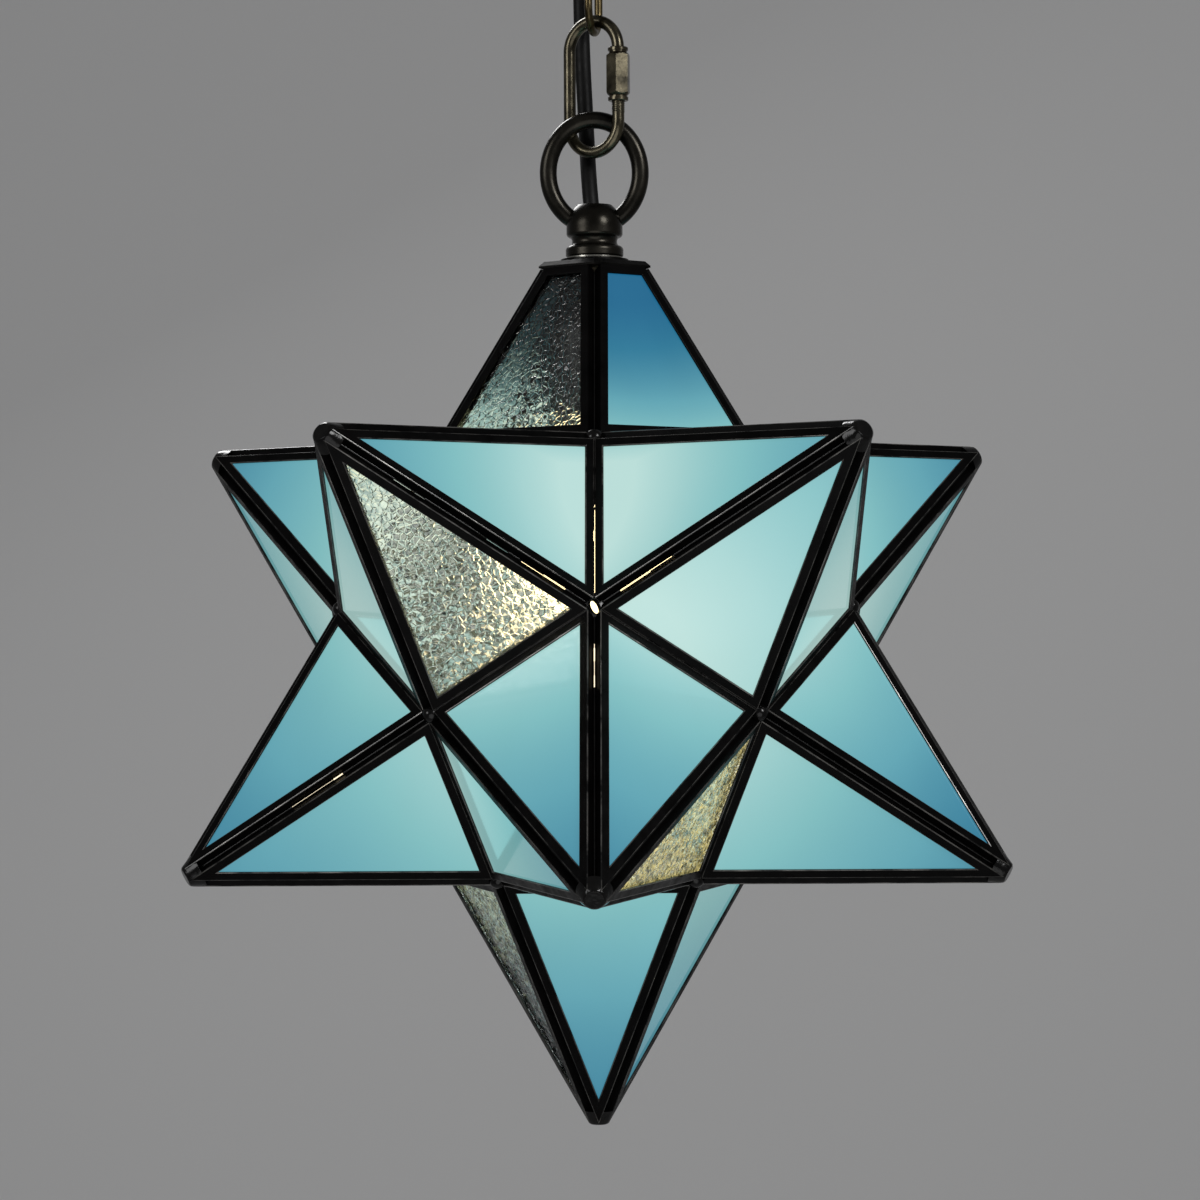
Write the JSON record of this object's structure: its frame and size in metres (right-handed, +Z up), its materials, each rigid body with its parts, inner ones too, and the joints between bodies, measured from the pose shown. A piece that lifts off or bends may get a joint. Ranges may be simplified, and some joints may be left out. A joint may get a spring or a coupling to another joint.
{
  "type": "stained glass star pendant light",
  "caption": "Star-shaped stained glass pendant light with blue opal and clear textured panes in black came, hung from a ceiling canopy by a ring, quick link and chain.",
  "frame": {"origin": "centre of the mounting plate's two screw holes, on the ceiling plane", "axes": "+Z up into the ceiling, -Y towards the pictured side, +X to the right in the picture"},
  "size_m": [0.3164, 0.3316, 0.5648],
  "materials": {
    "black_came": "satin",
    "blue_opal_glass": "gloss",
    "clear_textured_glass": "gloss",
    "dark_solder": "satin",
    "bulb_glass": "matte",
    "filament": "gloss",
    "bulb_cap": "satin",
    "holder_black": "satin",
    "contact_brass": "satin",
    "antique_brass": "satin",
    "steel": "satin",
    "cable_rubber": "matte",
    "terminal_plastic": "matte",
    "plate_steel": "satin",
    "bronze_black": "satin"
  },
  "bodies": {
    "canopy": {"canopy_dish": "bronze_black", "mounting_plate": "plate_steel", "canopy_loop": "antique_brass", "loop_collar": "bronze_black", "cable_grommet": "cable_rubber", "terminal_block": "terminal_plastic", "power_cable": "cable_rubber"},
    "upper_chain_link": {"upper_chain_link": "antique_brass"},
    "lower_chain_link": {"lower_chain_link": "antique_brass"},
    "quick_link": {"quick_link_body": "steel"},
    "sleeve": {"quick_link_sleeve": "steel"},
    "star": {"bottom_frames": "black_came", "bottom_opal_panes": "blue_opal_glass", "bright_washer": "steel", "cable_in_stem": "cable_rubber", "centre_contact": "contact_brass", "clear_panes": "clear_textured_glass", "hanging_ring": "bronze_black", "hinge_fixed_leaf": "bronze_black", "hinge_pin": "bronze_black", "holder_body": "holder_black", "holder_cap": "holder_black", "lock_nut": "steel", "loop_hub": "bronze_black", "lower_back_left_frames": "black_came", "lower_back_left_opal_panes": "blue_opal_glass", "lower_back_right_frames": "black_came", "lower_back_right_opal_panes": "blue_opal_glass", "lower_front_frames": "black_came", "lower_front_opal_panes": "blue_opal_glass", "lower_left_frames": "black_came", "lower_left_opal_panes": "blue_opal_glass", "lower_right_frames": "black_came", "lower_right_opal_panes": "blue_opal_glass", "screw_shell": "contact_brass", "seat_disc": "bronze_black", "stem_tube": "steel", "tip_solder": "dark_solder", "top_cap": "bronze_black", "top_frames": "black_came", "top_opal_panes": "blue_opal_glass", "upper_front_left_frames": "black_came", "upper_front_left_opal_panes": "blue_opal_glass", "upper_front_right_frames": "black_came", "upper_front_right_opal_panes": "blue_opal_glass", "upper_left_frames": "black_came", "upper_left_opal_panes": "blue_opal_glass", "upper_right_frames": "black_came", "upper_right_opal_panes": "blue_opal_glass", "valley_solder": "dark_solder"},
    "door": {"upper_back_frames": "black_came", "upper_back_opal_panes": "blue_opal_glass", "upper_back_clear_pane": "clear_textured_glass", "upper_back_tip_solder": "dark_solder", "hinge_door_leaf": "bronze_black"},
    "bulb": {"bulb_base": "bulb_cap", "bulb_glass": "bulb_glass", "bulb_filament": "filament"}
  },
  "joints": [
    {"name": "upper_link_swing", "type": "hinge", "parent": "canopy", "child": "upper_chain_link", "pos_m": [0, 0, -0.046], "axis": [0.9781, -0.2079, 0], "range_deg": [-22, 22], "deforming": ["power_cable"]},
    {"name": "lower_link_swing", "type": "hinge", "parent": "upper_chain_link", "child": "lower_chain_link", "pos_m": [0, 0, -0.0845], "axis": [0.2079, 0.9781, 0], "range_deg": [-22, 22], "deforming": ["power_cable"]},
    {"name": "quick_link_swing", "type": "hinge", "parent": "lower_chain_link", "child": "quick_link", "pos_m": [0, 0, -0.1238], "axis": [0.9781, -0.2079, 0], "range_deg": [-18, 18], "deforming": ["power_cable"]},
    {"name": "star_swing", "type": "hinge", "parent": "quick_link", "child": "star", "pos_m": [0, 0, -0.18382], "axis": [0, 1, 0], "range_deg": [-22, 22], "deforming": ["power_cable"]},
    {"name": "sleeve_travel", "type": "slide", "parent": "quick_link", "child": "sleeve", "axis": [0, 0, -1], "range_m": [0, 0.005]},
    {"name": "door_hinge", "type": "hinge", "parent": "star", "child": "door", "pos_m": [0, 0.05449, -0.2929], "axis": [1, 0, 0], "range_deg": [0, 85]},
    {"name": "bulb_unscrew", "type": "slide", "parent": "star", "child": "bulb", "axis": [0, 0, -1], "range_m": [0, 0.034]}
  ]
}
